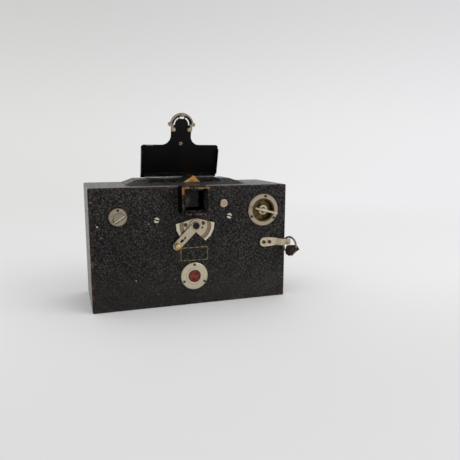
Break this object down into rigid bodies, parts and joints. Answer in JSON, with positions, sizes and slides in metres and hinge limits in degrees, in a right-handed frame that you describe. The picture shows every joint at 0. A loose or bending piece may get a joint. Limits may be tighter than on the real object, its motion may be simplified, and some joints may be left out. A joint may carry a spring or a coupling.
{
  "type": "panoramic camera",
  "caption": "Leather-covered box camera with a swinging lens for wide pictures on roll film, a hinged front lid, finder hood, swing lever, winding key and red window.",
  "frame": {"origin": "centre of the case's back face, on which it stands in the picture", "axes": "+X along the case towards the winding key, -Y out of the control face, +Z towards the lens side"},
  "size_m": [0.1872, 0.0924, 0.1744],
  "materials": {
    "covered_case": "pebble-grain black leather over wood",
    "black_metal": "satin black paint",
    "nickel": "aged nickel plate",
    "brass": "lacquered brass",
    "dark_brass": "tarnished brass",
    "blued_steel": "blued steel",
    "gilt": "worn gilt line",
    "clear_glass": "polished",
    "red_glass": "red glass",
    "mirror": "silvered",
    "wood": "turned wood",
    "steel": "bright steel",
    "strap_leather": "dark brown leather"
  },
  "bodies": {
    "case": {"case_shell": "covered_case", "panel_screws": "nickel", "label_frame": "gilt", "front_block": "covered_case", "back_pins": "steel", "mech_plate": "black_metal", "film_gate": "black_metal", "roller_axles": "steel", "spool_pivots": "steel", "fixed_leaf": "black_metal", "hinge_pin": "steel", "catch_plate": "nickel", "finder_hood": "covered_case", "finder_box": "black_metal", "finder_mirror": "mirror", "finder_glass": "clear_glass", "finder_lens": "clear_glass", "sector_plate": "nickel", "sector_screws": "nickel", "shaft_bushes": "brass", "window_ring": "nickel", "window_glass": "red_glass", "window_screws": "nickel", "key_flange": "nickel", "flange_screws": "nickel", "key_dish": "dark_brass", "strap_lug": "nickel", "lug_screws": "nickel", "tripod_bush": "brass"},
    "back": {"back_cover": "covered_case"},
    "left_roller": {"roller_left": "steel"},
    "right_roller": {"roller_right": "steel"},
    "lid": {"lid_plate": "black_metal", "lid_leaf": "black_metal", "lid_catch": "nickel", "catch_rivets": "nickel", "lid_stud": "nickel"},
    "swing_lens": {"swing_lever": "nickel", "lever_knob": "brass", "pivot_screw": "blued_steel", "swing_shaft": "steel", "lens_housing": "dark_brass", "lens_front": "brass", "lens_barrel": "black_metal", "front_lens": "clear_glass", "rear_lens": "clear_glass", "slit_tube": "black_metal"},
    "button": {"release_button": "nickel"},
    "winder": {"key_post": "nickel", "wing_pin": "steel", "takeup_core": "wood", "takeup_flanges": "black_metal"},
    "wing": {"key_wing": "nickel"},
    "feed_spool": {"feed_core": "wood", "feed_flanges": "black_metal"},
    "spool_pull": {"feed_knob": "nickel", "leaf_pin": "steel"},
    "pull_leaf": {"feed_leaf": "nickel"},
    "strap": {"strap_ring": "nickel", "strap_stub": "strap_leather"}
  },
  "joints": [
    {"name": "cover_hinge", "type": "hinge", "parent": "case", "child": "back", "pos_m": [0, 0.0276, 0.0025], "axis": [1, 0, 0], "range_deg": [0, 95]},
    {"name": "lid_hinge", "type": "hinge", "parent": "case", "child": "lid", "pos_m": [0.001, 0.0278, 0.1121], "axis": [1, 0, 0], "range_deg": [-25, 73.4]},
    {"name": "lens_swing", "type": "hinge", "parent": "case", "child": "swing_lens", "pos_m": [0.001, 0, 0.0732], "axis": [0, -1, 0], "range_deg": [0, 90]},
    {"name": "button_press", "type": "slide", "parent": "case", "child": "button", "axis": [0, 1, 0], "range_m": [0, 0.002], "stiffness_N_per_m": 300},
    {"name": "key_turn", "type": "hinge", "parent": "case", "child": "winder", "pos_m": [0.0666, 0, 0.0845], "axis": [0, -1, 0], "continuous": true},
    {"name": "wing_fold", "type": "hinge", "parent": "winder", "child": "wing", "pos_m": [0.0666, -0.0391, 0.0845], "axis": [0.9681, 0, -0.2504], "range_deg": [0, 74]},
    {"name": "feed_turn", "type": "hinge", "parent": "case", "child": "feed_spool", "pos_m": [-0.0662, 0, 0.0832], "axis": [0, 1, 0], "continuous": true},
    {"name": "spool_release", "type": "slide", "parent": "case", "child": "spool_pull", "axis": [0, -1, 0], "range_m": [0, 0.0065]},
    {"name": "leaf_lift", "type": "hinge", "parent": "spool_pull", "child": "pull_leaf", "pos_m": [-0.06495, -0.03805, 0.08127], "axis": [0.8387, 0, 0.5446], "range_deg": [0, 85]},
    {"name": "strap_swing", "type": "hinge", "parent": "case", "child": "strap", "pos_m": [0.0882, -0.0383, 0.054], "axis": [0, 0, 1], "range_deg": [-44, 60]},
    {"name": "left_roller_turn", "type": "hinge", "parent": "case", "child": "left_roller", "pos_m": [-0.05356, 0, 0.0417], "axis": [0, 1, 0], "continuous": true},
    {"name": "right_roller_turn", "type": "hinge", "parent": "case", "child": "right_roller", "pos_m": [0.05556, 0, 0.0417], "axis": [0, 1, 0], "continuous": true}
  ]
}
